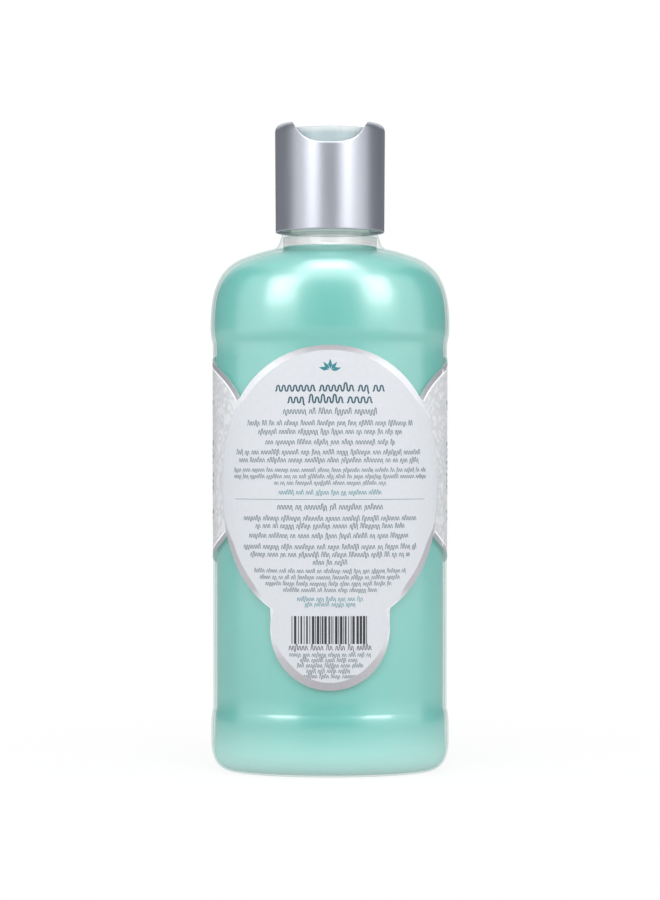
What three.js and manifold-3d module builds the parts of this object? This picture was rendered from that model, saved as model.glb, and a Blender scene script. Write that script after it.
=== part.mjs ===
// Shampoo bottle with a disc-top cap. Millimetres, +Z up, origin on the standing surface under the middle
// of the bottle. X is the width, Y the depth: the spout faces +Y, and the thumb scoop and the label's text -Y.
import * as THREE from "three";
import { mergeVertices } from "three/addons/utils/BufferGeometryUtils.js";
import Module from "manifold-3d";

const wasm = await Module();
wasm.setup();

const TURN = 2 * Math.PI;
const AROUND = 48; // flats round the neck and the cap
const BODY_AROUND = 40; // flats round the oval body
const GAP = 0.3; // air left between two pieces that touch

// Bottle body: an ellipse at every height, BODY_A across and BODY_B deep at its widest.
const BODY_A = 38.75;
const BODY_B = 27.6;
const WALL = 0.9;
const RING_INNER = 28.9; // standing ring, half widths along X
const RING_OUTER = 31.2;
const PUSH_UP = 3.4;
const BUMPER_LOW = 9.9; // top of the rounded heel
const PANEL_A = 38.0; // recessed label panel
const PANEL_LOW = 20.3;
const PANEL_HIGH = 138.3;
const GIRTH_Z = 144; // the shoulder starts to turn in here
const COLLAR_Z = 170.8; // round collar under the cap
const COLLAR_R = 16.5;
const COLLAR_TOP_R = 15.4;
const COLLAR_TOP_Z = 174.0;

// 28-410 neck finish.
const NECK_R = 12.6;
const BORE_R = 10.8;
const LAND_Z = 191.9;
const LEAD = 4.23;
const THREAD_TURNS = 1.5;
const THREAD_R = 13.7;
const THREAD_LOW_Z = 183.6;

const FILL_Z = 169.6;

// Wrap label. ALONG is measured round the panel from the middle of the rear face.
const LABEL_THICK = 0.3;
const LABEL_COLUMNS = 120;
const REAR_LOBE = { middle: 92.7, along: 39.2, up: 44.5 };
const TAIL_LOBE = { middle: 47.4, along: 19.3, up: 19.3 };
const FRONT_LOBE = { middle: 101, along: 75, up: 35.5, down: 37, topPower: 3.4, lowPower: 2.85 };

// Cap.
const CAP_LOW = 174.5;
const CAP_TOP = 209.5;
const SHELL_LOW_R = 17.65;
const SHELL_TOP_R = 17.85;
const SHELL_THICK = 0.5;
const RIM_HOLE_R = 15.9;
const RIM_ROUND_UP = 2.4;
const SCOOP_Z = 202;
const SCOOP_HALF = 11.8;
const SKIRT_LOW = 175.4;
const SKIRT_BORE = 14.0;
const SKIRT_R = 15.4;
const FLANGE_R = 16.85;
const DECK_LOW = 193.5;
const DECK_TOP = 195.0;
const WELL_R = 15.7;
const CAP_THREAD_CREST = 13.0;
const RIB_COUNT = 12;

// Disc: it tips about an axis along X, behind and just under the middle of its top.
const DISC_R = WELL_R - GAP;
const DISC_TOP = 207.7;
const DISC_PLATE = 1.5;
const DISC_WALL = 1.2;
const PIVOT_Y = -3;
const PIVOT_Z = 206.5;
const DISC_DROP = 4.3; // how far the disc's skirt reaches below the pivot
const PIN_R = 1.0;
const PIN_REACH = 16.4;
const DRUM_R = 5.3;
const DRUM_HALF = 3.5;
const ORIFICE_R = 1.0;
const OPEN_ANGLE = THREE.MathUtils.degToRad(28);

// ---------- from three.js geometry to solids and back ----------

function solidFrom(geometry) {
  const bare = geometry.index ? geometry.toNonIndexed() : geometry.clone();
  bare.deleteAttribute("normal");
  bare.deleteAttribute("uv");
  const merged = mergeVertices(bare, 1e-4);
  const corners = merged.index.array;
  const kept = [];
  for (let i = 0; i < corners.length; i += 3) {
    const [a, b, c] = [corners[i], corners[i + 1], corners[i + 2]];
    if (a !== b && b !== c && a !== c) kept.push(a, b, c);
  }
  const place = merged.attributes.position.array;
  const faces = signedVolume(place, kept) < 0 ? kept.reverse() : kept;
  return new wasm.Manifold(
    new wasm.Mesh({ numProp: 3, vertProperties: place, triVerts: new Uint32Array(faces) }),
  );
}

function signedVolume(place, faces) {
  const corner = [new THREE.Vector3(), new THREE.Vector3(), new THREE.Vector3()];
  let six = 0;
  for (let i = 0; i < faces.length; i += 3) {
    corner.forEach((v, k) => v.fromArray(place, 3 * faces[i + k]));
    six += corner[0].dot(corner[1].cross(corner[2]));
  }
  return six;
}

function geometryFrom(solid) {
  const mesh = solid.getMesh();
  const geometry = new THREE.BufferGeometry();
  geometry.setAttribute("position", new THREE.BufferAttribute(mesh.vertProperties, 3));
  geometry.setIndex(new THREE.BufferAttribute(mesh.triVerts, 1));
  geometry.computeVertexNormals();
  return geometry;
}

function eachVertex(geometry, move) {
  const place = geometry.attributes.position;
  const v = new THREE.Vector3();
  for (let i = 0; i < place.count; i++) {
    v.fromBufferAttribute(place, i);
    move(v);
    place.setXYZ(i, v.x, v.y, v.z);
  }
  return geometry;
}

// A turned solid about Z from [radius, height] pairs or points.
function turned(profile, flats = AROUND) {
  const points = profile.map((p) => (Array.isArray(p) ? new THREE.Vector2(...p) : p));
  return new THREE.LatheGeometry(points, flats).rotateX(Math.PI / 2);
}

function rod(radius, low, high, x = 0, y = 0) {
  return new THREE.CylinderGeometry(radius, radius, high - low, AROUND / 2)
    .rotateX(Math.PI / 2)
    .translate(x, y, (low + high) / 2);
}

// A cylinder along X on the disc's pivot axis.
function axle(radius, from, to, sides = AROUND) {
  return new THREE.CylinderGeometry(radius, radius, to - from, sides)
    .rotateZ(Math.PI / 2)
    .translate((from + to) / 2, PIVOT_Y, PIVOT_Z);
}

function block(low, high) {
  const [a, b] = [new THREE.Vector3(...low), new THREE.Vector3(...high)];
  const size = b.clone().sub(a);
  const middle = a.add(b).multiplyScalar(0.5);
  return new THREE.BoxGeometry(size.x, size.y, size.z).translate(middle.x, middle.y, middle.z);
}

// A screw ridge: a box bent round Z, base wide at rootR and narrow at crestR, fading out at both ends.
function ridge({ rootR, crestR, rootWidth, crestWidth, lowZ }) {
  const steps = Math.round(THREAD_TURNS * AROUND);
  const fade = 0.06;
  return eachVertex(new THREE.BoxGeometry(1, 1, 1, steps, 1, 1), (v) => {
    const along = v.x + 0.5;
    const outward = v.y > 0;
    const height = Math.min(1, along / fade, (1 - along) / fade) * 0.9 + 0.1;
    const radius = outward ? rootR + (crestR - rootR) * height : rootR;
    const width = outward ? crestWidth : rootWidth;
    const angle = along * THREAD_TURNS * TURN;
    const z = lowZ + (LEAD * angle) / TURN + v.z * width;
    v.set(radius * Math.cos(angle), radius * Math.sin(angle), z);
  });
}

// ---------- bottle ----------

// Half depth of the body where it is `a` across: a round collar at the top that widens into the oval,
// the same corner all round below it, and a push-up scaled to fit inside the standing ring.
function halfDepth(a, z, inset = 0) {
  const outer = a + inset;
  const corner = BODY_A - BODY_B;
  if (z > GIRTH_Z) {
    const spread = (BODY_B - COLLAR_R) / (BODY_A - COLLAR_R);
    const blend = outer > COLLAR_R ? COLLAR_R + (outer - COLLAR_R) * spread : outer;
    return blend - inset;
  }
  if (outer >= RING_INNER) return outer - corner - inset;
  return a * ((RING_INNER - corner) / RING_INNER);
}

// The body's outline in the XZ plane, from the middle of the base to the middle of the collar's top.
function bodyOutline() {
  const path = new THREE.Path();
  path.moveTo(0, PUSH_UP);
  path.quadraticCurveTo(RING_INNER * 0.85, PUSH_UP, RING_INNER, 0);
  path.lineTo(RING_OUTER, 0);
  path.quadraticCurveTo(BODY_A - 0.25, 0.4, BODY_A - 0.25, BUMPER_LOW);
  path.lineTo(BODY_A - 0.25, 15);
  path.quadraticCurveTo(BODY_A - 0.35, 17.7, PANEL_A - 0.15, PANEL_LOW);
  path.lineTo(PANEL_A, PANEL_HIGH);
  path.quadraticCurveTo(BODY_A, 141.2, BODY_A, GIRTH_Z);
  path.bezierCurveTo(BODY_A, GIRTH_Z + 12, 36, 163, 28, 166.2);
  path.quadraticCurveTo(21, 168.6, 18.9, 168.8);
  path.quadraticCurveTo(17, 169.4, COLLAR_R, COLLAR_Z);
  path.lineTo(COLLAR_TOP_R, COLLAR_TOP_Z);
  path.lineTo(0, COLLAR_TOP_Z);
  return path.curves.flatMap((curve, i) => curve.getPoints(steps(curve)).slice(i === 0 ? 0 : 1));
}

// How many straight steps stand for a curve: one for every 13 degrees that it turns.
function steps(curve) {
  const bend = THREE.MathUtils.degToRad(13);
  return Math.ceil(curve.getTangent(0).angleTo(curve.getTangent(1)) / bend) || 1;
}

// The outline moved inwards by `inset`, still starting and ending on the axis.
function insetOutline(points, inset) {
  const last = points.length - 1;
  return points.map((p, i) => {
    const before = points[Math.max(i - 1, 0)];
    const after = points[Math.min(i + 1, last)];
    const tangent = after.clone().sub(before).normalize();
    const moved = new THREE.Vector2(p.x - tangent.y * inset, p.y + tangent.x * inset);
    if (i === 0 || i === last) moved.x = 0;
    return moved;
  });
}

function body(inset) {
  const geometry = turned(insetOutline(bodyOutline(), inset), BODY_AROUND);
  return eachVertex(geometry, (v) => {
    const a = Math.hypot(v.x, v.y);
    if (a > 1e-6) v.y *= halfDepth(a, v.z, inset) / a;
  });
}

function neck() {
  const buried = COLLAR_TOP_Z - WALL / 2;
  const lipRound = 0.5;
  return turned([
    [0, buried],
    [NECK_R + 1, buried],
    [NECK_R + 1, COLLAR_TOP_Z + 0.3],
    [NECK_R, COLLAR_TOP_Z + 1.2],
    [NECK_R, LAND_Z - lipRound],
    [NECK_R - lipRound, LAND_Z],
    [0, LAND_Z],
  ]);
}

function bottle() {
  const thread = ridge({
    rootR: NECK_R - 0.4,
    crestR: THREAD_R,
    rootWidth: 2.8,
    crestWidth: 1.0,
    lowZ: THREAD_LOW_Z,
  });
  return solidFrom(body(0))
    .add(solidFrom(neck()))
    .add(solidFrom(thread))
    .subtract(solidFrom(body(WALL)))
    .subtract(solidFrom(rod(BORE_R, COLLAR_TOP_Z - 3, LAND_Z + 5)));
}

function shampoo() {
  const inside = solidFrom(body(WALL + GAP));
  const reach = 2 * BODY_A;
  return inside.intersect(solidFrom(block([-reach, -reach, -reach], [reach, reach, FILL_Z])));
}

// ---------- wrap label ----------

function lobeHalfHeight(along, reach, height, power = 2) {
  const share = 1 - Math.pow(Math.min(1, Math.abs(along) / reach), power);
  return height * Math.pow(share, 1 / power);
}

// The label's lowest and highest point at a distance round the panel from the middle of the rear face.
function labelEdges(along, halfWay) {
  const fromFront = halfWay - Math.abs(along);
  const f = FRONT_LOBE;
  const lows = [f.middle - lobeHalfHeight(fromFront, f.along, f.down, f.lowPower)];
  const highs = [f.middle + lobeHalfHeight(fromFront, f.along, f.up, f.topPower)];
  for (const lobe of [REAR_LOBE, TAIL_LOBE]) {
    if (Math.abs(along) >= lobe.along) continue;
    const half = lobeHalfHeight(along, lobe.along, lobe.up);
    lows.push(lobe.middle - half);
    highs.push(lobe.middle + half);
  }
  return [Math.min(...lows), Math.max(...highs)];
}

function panelHalfWidth(z) {
  return PANEL_A - (0.15 * (PANEL_HIGH - z)) / (PANEL_HIGH - PANEL_LOW);
}

// The label starts and ends at the +X side, where a slit of GAP stands for its lapped join.
function wrapLabel() {
  const middleA = panelHalfWidth((PANEL_LOW + PANEL_HIGH) / 2);
  const middleB = middleA - (BODY_A - BODY_B);
  const round = new THREE.EllipseCurve(0, 0, middleA, middleB, 0, -TURN, true);
  round.arcLengthDivisions = 2000;
  const perimeter = round.getLength();
  const slit = GAP / perimeter;
  return eachVertex(new THREE.BoxGeometry(1, 1, 1, LABEL_COLUMNS, 1, 1), (v) => {
    const share = slit / 2 + (v.x + 0.5) * (1 - slit);
    const [low, high] = labelEdges((share - 0.25) * perimeter, perimeter / 2);
    const z = v.z > 0 ? high : low;
    const out = GAP + (v.y > 0 ? 0 : LABEL_THICK);
    const middle = round.getPointAt(share);
    const a = panelHalfWidth(z) + out;
    const b = a - (BODY_A - BODY_B);
    v.set((middle.x / middleA) * a, (middle.y / middleB) * b, z);
  });
}

// ---------- cap ----------

// Points of the quarter ellipse that rounds the cap's rim, from the wall over to the hole.
function rimRound(wallR, topZ, up) {
  const steps = 5;
  return Array.from({ length: steps + 1 }, (_, i) => {
    const angle = (i / steps) * (Math.PI / 2);
    const across = (wallR - RIM_HOLE_R) * Math.cos(angle);
    return [RIM_HOLE_R + across, topZ - up + up * Math.sin(angle)];
  });
}

// A smooth U through the rear wall of the cap, for the thumb.
function scoopCutter() {
  const flat = 4.2;
  const rise = CAP_TOP - SCOOP_Z;
  const shape = new THREE.Shape();
  shape.moveTo(-SCOOP_HALF - 1.6, CAP_TOP + 1);
  shape.bezierCurveTo(-SCOOP_HALF, CAP_TOP + 0.4, -9.2, SCOOP_Z + rise * 0.1, -flat, SCOOP_Z);
  shape.lineTo(flat, SCOOP_Z);
  shape.bezierCurveTo(9.2, SCOOP_Z + rise * 0.1, SCOOP_HALF, CAP_TOP + 0.4, SCOOP_HALF + 1.6, CAP_TOP + 1);
  const depth = 12;
  return new THREE.ExtrudeGeometry(shape, { depth, bevelEnabled: false, curveSegments: 8 })
    .rotateX(Math.PI / 2)
    .translate(0, -8, 0);
}

function capShell() {
  const innerTop = CAP_TOP - SHELL_THICK;
  const outside = rimRound(SHELL_TOP_R, CAP_TOP, RIM_ROUND_UP);
  const inside = rimRound(SHELL_TOP_R - SHELL_THICK, innerTop, RIM_ROUND_UP - 0.4).reverse();
  const wall = turned([
    [SHELL_LOW_R - SHELL_THICK, CAP_LOW],
    [SHELL_LOW_R, CAP_LOW],
    ...outside,
    ...inside,
    [SHELL_LOW_R - SHELL_THICK, CAP_LOW],
  ]);
  return solidFrom(wall).subtract(solidFrom(scoopCutter()));
}

function capBase() {
  const rimWall = SHELL_TOP_R - SHELL_THICK - GAP - 0.05;
  const rim = rimRound(rimWall, CAP_TOP - SHELL_THICK - GAP, RIM_ROUND_UP - 0.7);
  const bodyOfBase = turned([
    [0, DECK_LOW],
    [SKIRT_BORE, DECK_LOW],
    [SKIRT_BORE, SKIRT_LOW + 0.8],
    [SKIRT_BORE + 0.5, SKIRT_LOW],
    [FLANGE_R, SKIRT_LOW],
    [FLANGE_R, SKIRT_LOW + 1.6],
    [SKIRT_R, SKIRT_LOW + 2.2],
    [SKIRT_R, DECK_LOW - 1],
    [FLANGE_R, DECK_LOW],
    ...rim,
    [WELL_R, CAP_TOP - SHELL_THICK - GAP],
    [WELL_R, DECK_TOP],
    [0, DECK_TOP],
  ]);
  let made = solidFrom(bodyOfBase);
  for (let i = 0; i < RIB_COUNT; i++) {
    const rib = block([SKIRT_R - 0.4, -0.5, SKIRT_LOW + 1], [FLANGE_R - 0.1, 0.5, DECK_LOW - 0.2]);
    made = made.add(solidFrom(rib.rotateZ(((i + 0.5) / RIB_COUNT) * TURN)));
  }
  const thread = ridge({
    rootR: SKIRT_BORE + 0.4,
    crestR: CAP_THREAD_CREST,
    rootWidth: 2.6,
    crestWidth: 0.9,
    lowZ: THREAD_LOW_Z - LEAD / 2,
  });
  const seatTop = PIVOT_Z - DISC_DROP - 0.2;
  const seat = rod(DRUM_HALF, DECK_TOP - 0.5, seatTop, 0, PIVOT_Y);
  return made
    .add(solidFrom(thread))
    .add(solidFrom(seat))
    .subtract(solidFrom(axle(DRUM_R + GAP, -10, 10)))
    .subtract(solidFrom(rod(ORIFICE_R, DECK_LOW - 1, PIVOT_Z, 0, PIVOT_Y)))
    .subtract(solidFrom(axle(PIN_R + GAP, -SHELL_TOP_R, SHELL_TOP_R, 16)))
    .subtract(solidFrom(scoopCutter()));
}

function capLiner() {
  const low = LAND_Z + GAP;
  const high = DECK_LOW - GAP;
  const outer = SKIRT_BORE - 0.8;
  return solidFrom(
    turned([
      [BORE_R + 0.2, low],
      [outer, low],
      [outer, high],
      [BORE_R + 0.2, high],
      [BORE_R + 0.2, low],
    ]),
  );
}

// ---------- disc ----------

// What the disc may fill and still turn inside the round well: its front half is turned about the pivot axis,
// so that every slice of it across X stays as far from the well's wall as it tips.
function swingRoom() {
  const steps = 20;
  const reach = DISC_R * 0.999;
  const profile = [new THREE.Vector2(0, -reach)];
  for (let i = 0; i <= steps; i++) {
    const x = -reach * Math.cos((i / steps) * Math.PI);
    profile.push(new THREE.Vector2(Math.sqrt(DISC_R ** 2 - x ** 2) - PIVOT_Y, x));
  }
  profile.push(new THREE.Vector2(0, reach));
  const front = new THREE.LatheGeometry(profile, AROUND)
    .rotateZ(-Math.PI / 2)
    .translate(0, PIVOT_Y, PIVOT_Z);
  const tall = 2 * DISC_R;
  const rear = block([-tall, -tall, PIVOT_Z - tall], [tall, PIVOT_Y, PIVOT_Z + tall]);
  return solidFrom(front).add(solidFrom(rear));
}

function discTop() {
  const low = PIVOT_Z - DISC_DROP;
  const plateLow = DISC_TOP - DISC_PLATE;
  const edge = 0.4;
  const cup = turned([
    [0, plateLow],
    [DISC_R - DISC_WALL, plateLow],
    [DISC_R - DISC_WALL, low],
    [DISC_R, low],
    [DISC_R, DISC_TOP - edge],
    [DISC_R - edge, DISC_TOP],
    [0, DISC_TOP],
  ]);
  const spoutHalf = 3.2;
  const spoutLow = PIVOT_Z - 3.9;
  const spout = block([-spoutHalf, PIVOT_Y, spoutLow], [spoutHalf, DISC_R - 0.1, plateLow + 0.3]);
  const drum = solidFrom(axle(DRUM_R, -DRUM_HALF, DRUM_HALF)).intersect(
    solidFrom(block([-DISC_R, -DISC_R, low - 5], [DISC_R, DISC_R, plateLow + 0.3])),
  );
  const channelZ = -2.2;
  const channel = new THREE.CylinderGeometry(1.4, 1.4, DISC_R - PIVOT_Y + 4, 16)
    .translate(0, (DISC_R - PIVOT_Y + 4) / 2 - 1, 0)
    .translate(0, PIVOT_Y, PIVOT_Z + channelZ);
  const inlet = new THREE.CylinderGeometry(ORIFICE_R, ORIFICE_R, DRUM_R + 1, 16)
    .rotateX(Math.PI / 2)
    .translate(0, 0, channelZ + 0.8 - (DRUM_R + 1) / 2)
    .rotateX(-OPEN_ANGLE)
    .translate(0, PIVOT_Y, PIVOT_Z);
  const cupped = solidFrom(cup).add(solidFrom(spout)).intersect(swingRoom());
  return cupped
    .add(drum)
    .subtract(solidFrom(channel))
    .subtract(solidFrom(inlet))
    .add(solidFrom(axle(PIN_R, DISC_R - 1, PIN_REACH, 16)))
    .add(solidFrom(axle(PIN_R, -PIN_REACH, 1 - DISC_R, 16)));
}

// ---------- the assembly ----------

function part(name, solid, color, roughness, metalness) {
  const geometry = solid instanceof THREE.BufferGeometry ? solid : geometryFrom(solid);
  const mesh = new THREE.Mesh(geometry, new THREE.MeshStandardMaterial({ color, roughness, metalness }));
  mesh.name = name;
  return mesh;
}

const assembly = new THREE.Group();
assembly.add(
  part("bottle", bottle(), "#dfe9e6", 0.08, 0),
  part("shampoo", shampoo(), "#86c9bd", 0.3, 0),
  part("wrap_label", solidFrom(wrapLabel()), "#e6e9ec", 0.4, 0.2),
  part("cap_liner", capLiner(), "#f2f2ee", 0.8, 0),
);
const cap = new THREE.Group();
cap.add(
  part("cap_base", capBase(), "#e4e8e6", 0.45, 0),
  part("cap_shell", capShell(), "#c3c7d0", 0.3, 0.9),
  part("disc_top", discTop(), "#dfe6e4", 0.4, 0),
);
assembly.add(cap);

export default assembly;
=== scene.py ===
"""A shampoo bottle with a disc-top cap, dressed in Blender around its CAD frame.

Lengths below are in millimetres and are turned to metres where vertices are made. X is the width,
the text side of the label and the thumb scoop face -Y, and the spout faces +Y.
"""

import math
import random

import bpy
import numpy as np
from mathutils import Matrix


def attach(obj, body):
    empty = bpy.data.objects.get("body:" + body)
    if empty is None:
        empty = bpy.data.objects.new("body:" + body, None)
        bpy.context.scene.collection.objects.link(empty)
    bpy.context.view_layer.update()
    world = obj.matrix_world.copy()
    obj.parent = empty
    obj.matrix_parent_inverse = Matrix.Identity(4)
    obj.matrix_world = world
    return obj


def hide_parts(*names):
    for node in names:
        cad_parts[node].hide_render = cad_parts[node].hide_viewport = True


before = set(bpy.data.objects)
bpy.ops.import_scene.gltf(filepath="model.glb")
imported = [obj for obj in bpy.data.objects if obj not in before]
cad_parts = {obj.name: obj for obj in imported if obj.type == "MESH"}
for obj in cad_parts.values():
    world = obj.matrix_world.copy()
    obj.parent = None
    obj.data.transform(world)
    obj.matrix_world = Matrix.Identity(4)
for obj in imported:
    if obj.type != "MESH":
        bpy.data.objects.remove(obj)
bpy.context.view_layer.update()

MM = 0.001

# Bottle, with the CAD's outer surface.
BODY_A = 38.75
BODY_B = 27.6
RING_INNER = 28.9
RING_OUTER = 31.2
PUSH_UP = 3.4
BUMPER_LOW = 9.9
PANEL_A = 38.0
PANEL_LOW = 20.3
PANEL_HIGH = 138.3
GIRTH_Z = 144
COLLAR_Z = 170.8
COLLAR_R = 16.5
COLLAR_TOP_R = 15.4
COLLAR_TOP_Z = 174.0
NECK_R = 12.6
BORE_R = 10.8
LAND_Z = 191.9
LEAD = 4.23
THREAD_TURNS = 1.5
THREAD_R = 13.7
THREAD_LOW_Z = 183.6
CORNER = BODY_A - BODY_B
BOTTLE_AROUND = 192

# The wall's inner face, which turns into a straight sleeve in the collar.
WALL = 0.5
SLEEVE_R = 15.2
SLEEVE_Z = 168.9
SLEEVE_TOP = 172.9

# Shampoo, inset from the bottle's outside, with a straight column in the collar.
FILL_INSET = 1.25
FILL_INSET_LOW = 0.6
FILL_SHOULDER_R = 22
FILL_NECK_R = 15.1
FILL_Z = 169.9

# Heights between which colours change.
# Cloud heights on the collar, outside and inside; the cloud carries a painted glow.
CLOUD_AND_PAINTED_GLOW_OUTSIDE = (173.8, 174.5)
CLOUD_AND_PAINTED_GLOW_INSIDE = (169.5, 170)
# Painted pool of light at the foot, then painted shade in the neck.
PAINTED_FOOT_LIGHT = (17, 0)
PAINTED_NECK_SHADE = (167.2, 168)
# Painted highlight along the disc's top.
DISC_PAINTED_HIGHLIGHT = (205.6, 206.8)
BORDER_SPAN = (28, 138)

# Label, measured round the panel from the middle of the rear face, towards +X.
REAR_LOBE = {"middle": 92.7, "along": 39.2, "up": 44.5}
TAIL_LOBE = {"middle": 47.4, "along": 19.3, "up": 19.3}
FRONT_LOBE = {"middle": 101, "along": 75, "up": 35.5, "down": 37, "top_power": 3.4, "low_power": 2.85}
MEDALLION = {"middle": 100.4, "along": 37, "up": 26.5, "edge": 1.4}
BAND_WIDE = 1.7
LAP = 3.0
LAP_START_BACK = 8.0
FILM_OUT = 0.03
FILM_THICK = 0.1
LAYER = 0.025

# Cap.
CAP_LOW = 174.5
CAP_TOP = 209.5
SHELL_LOW_R = 17.65
SHELL_TOP_R = 17.85
SHELL_THICK = 0.5
RIM_HOLE_R = 15.9
RIM_ROUND_UP = 2.4
SCOOP_EDGE = ((0, 202), (9, 202), (10, 205.6), (12.9, 210.2))
LIP_R = 0.21

# Camera and lights, in metres and degrees.
EYE = (0, -0.9, 0.104)
LENS = 110.8
AIM_Z = 0.12


# ---------- curves and meshes ----------

def bezier(points, count):
    """`count` points on a Bezier curve of any degree, without its first point."""
    t = np.linspace(0, 1, count + 1)[1:, None]
    layers = [np.tile(np.array(p, float), (count, 1)) for p in points]
    while len(layers) > 1:
        layers = [a + (b - a) * t for a, b in zip(layers, layers[1:])]
    return layers[0]


def outline(start, stretches):
    """A polyline from `start` through Bezier stretches, each (count, control point, ..., end point)."""
    points = [np.array([start], float)]
    for count, *controls in stretches:
        points.append(bezier([points[-1][-1], *controls], count))
    return np.vstack(points)


def inset_outline(points, inset):
    """The outline moved inwards, with its two ends kept on the axis."""
    before = np.vstack([points[:1], points[:-1]])
    after = np.vstack([points[1:], points[-1:]])
    tangent = after - before
    tangent /= np.linalg.norm(tangent, axis=1)[:, None]
    moved = points + inset * np.column_stack([-tangent[:, 1], tangent[:, 0]])
    moved[0, 0] = moved[-1, 0] = 0
    return moved


def make_object(name, points, faces, smooth_to=35):
    """A mesh object from points in millimetres, smooth except over edges sharper than `smooth_to` degrees."""
    mesh = bpy.data.meshes.new(name)
    mesh.from_pydata((np.asarray(points, float) * MM).tolist(), [], faces)
    mesh.update()
    mesh.polygons.foreach_set("use_smooth", [True] * len(mesh.polygons))
    mesh.set_sharp_from_angle(angle=math.radians(smooth_to))
    made = bpy.data.objects.new(name, mesh)
    bpy.context.scene.collection.objects.link(made)
    return made


def ring_faces(low, high):
    """Faces between two closed rings of vertex numbers; a ring of one number is a point."""
    count = max(len(low), len(high))
    faces = []
    for i in range(count):
        j = (i + 1) % count
        if len(low) == 1:
            faces.append((low[0], high[j], high[i]))
        elif len(high) == 1:
            faces.append((low[i], low[j], high[0]))
        else:
            faces.append((low[i], low[j], high[j], high[i]))
    return faces


def lathe(name, rows, around, smooth_to=35):
    """Oval rings, one for each (half width, half depth, height), skinned in order."""
    turn = np.linspace(0, 2 * math.pi, around, endpoint=False)
    points, rings = [], []
    for a, b, z in rows:
        first = len(points)
        if a < 1e-6:
            points.append((0, 0, z))
            rings.append([first])
            continue
        points.extend(zip(a * np.cos(turn), b * np.sin(turn), np.full(around, z)))
        rings.append(list(range(first, first + around)))
    faces = [face for low, high in zip(rings, rings[1:]) for face in ring_faces(low, high)]
    return make_object(name, points, faces, smooth_to)


def grid_faces(columns, rows, start=0, flip=False):
    """Quads of a grid whose vertex number is start + column * rows + row."""
    faces = []
    for c in range(columns - 1):
        for r in range(rows - 1):
            k = start + c * rows + r
            quad = (k, k + rows, k + rows + 1, k + 1)
            faces.append(quad[::-1] if flip else quad)
    return faces


def sheet_faces(columns, rows):
    """Faces of a closed thin sheet: an outer grid, an inner grid numbered after it, and the rim between."""
    size = columns * rows
    faces = grid_faces(columns, rows) + grid_faces(columns, rows, size, flip=True)
    rim = [c * rows for c in range(columns)]
    rim += [(columns - 1) * rows + r for r in range(1, rows)]
    rim += [c * rows + rows - 1 for c in range(columns - 2, -1, -1)]
    rim += [r for r in range(rows - 2, 0, -1)]
    for i, k in enumerate(rim):
        j = rim[(i + 1) % len(rim)]
        faces.append((k, k + size, j + size, j))
    return faces


# ---------- bottle and shampoo ----------

def half_depth(a, z, inset=0.0):
    """Half depth of the body where it is `a` across."""
    outer = a + inset
    if z > GIRTH_Z:
        spread = (BODY_B - COLLAR_R) / (BODY_A - COLLAR_R)
        blend = COLLAR_R + (outer - COLLAR_R) * spread if outer > COLLAR_R else outer
        return blend - inset
    if outer >= RING_INNER:
        return outer - CORNER - inset
    return a * (RING_INNER - CORNER) / RING_INNER


BODY_OUTLINE = outline((0, PUSH_UP), [
    (14, (RING_INNER * 0.85, PUSH_UP), (RING_INNER, 0.25)),
    (3, (RING_INNER + 0.2, 0), (RING_INNER + 0.6, 0)),
    (1, (RING_OUTER, 0)),
    (16, (BODY_A - 0.25, 0.4), (BODY_A - 0.25, BUMPER_LOW)),
    (2, (BODY_A - 0.25, 15)),
    (12, (BODY_A - 0.25, 18.4), (PANEL_A - 0.15, PANEL_LOW)),
    (24, (PANEL_A, PANEL_HIGH)),
    (8, (BODY_A, 141.2), (BODY_A, GIRTH_Z)),
    (26, (BODY_A, GIRTH_Z + 12), (36, 163), (28, 166.2)),
    (8, (21, 168.6), (18.9, 168.8)),
    (6, (17, 169.4), (COLLAR_R, COLLAR_Z)),
    (3, (COLLAR_TOP_R + 0.25, COLLAR_TOP_Z - 0.4)),
    (3, (COLLAR_TOP_R + 0.1, COLLAR_TOP_Z), (COLLAR_TOP_R - 0.4, COLLAR_TOP_Z)),
    (1, (0, COLLAR_TOP_Z)),
])


def body_rows(inset):
    points = inset_outline(BODY_OUTLINE, inset) if inset else BODY_OUTLINE
    return [(a, half_depth(a, z, inset), z) for a, z in points]


def screw_ridge(root_r, crest_r, root_width, crest_width, low_z):
    """Points and faces of a closed screw ridge round Z that fades out at both ends."""
    steps = 160
    fade = 0.06
    points = []
    for i in range(steps + 1):
        along = i / steps
        height = min(1, along / fade, (1 - along) / fade) * 0.9 + 0.1
        angle = along * THREAD_TURNS * 2 * math.pi
        z = low_z + LEAD * angle / (2 * math.pi)
        out = root_r + (crest_r - root_r) * height
        for r, dz in [(root_r, -root_width / 2), (out, -crest_width / 2), (out, crest_width / 2),
                      (root_r, root_width / 2)]:
            points.append((r * math.cos(angle), r * math.sin(angle), z + dz))
    faces = [(0, 1, 2, 3), tuple(4 * steps + k for k in (3, 2, 1, 0))]
    for i in range(steps):
        for k in range(4):
            a, b = 4 * i + k, 4 * i + (k + 1) % 4
            faces.append((a, a + 4, b + 4, b))
    return points, faces


def join(name, *objects):
    """One object named `name` out of several."""
    bpy.ops.object.select_all(action="DESELECT")
    for o in objects:
        o.select_set(True)
    bpy.context.view_layer.objects.active = objects[0]
    bpy.ops.object.join()
    objects[0].name = name
    return objects[0]


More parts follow.
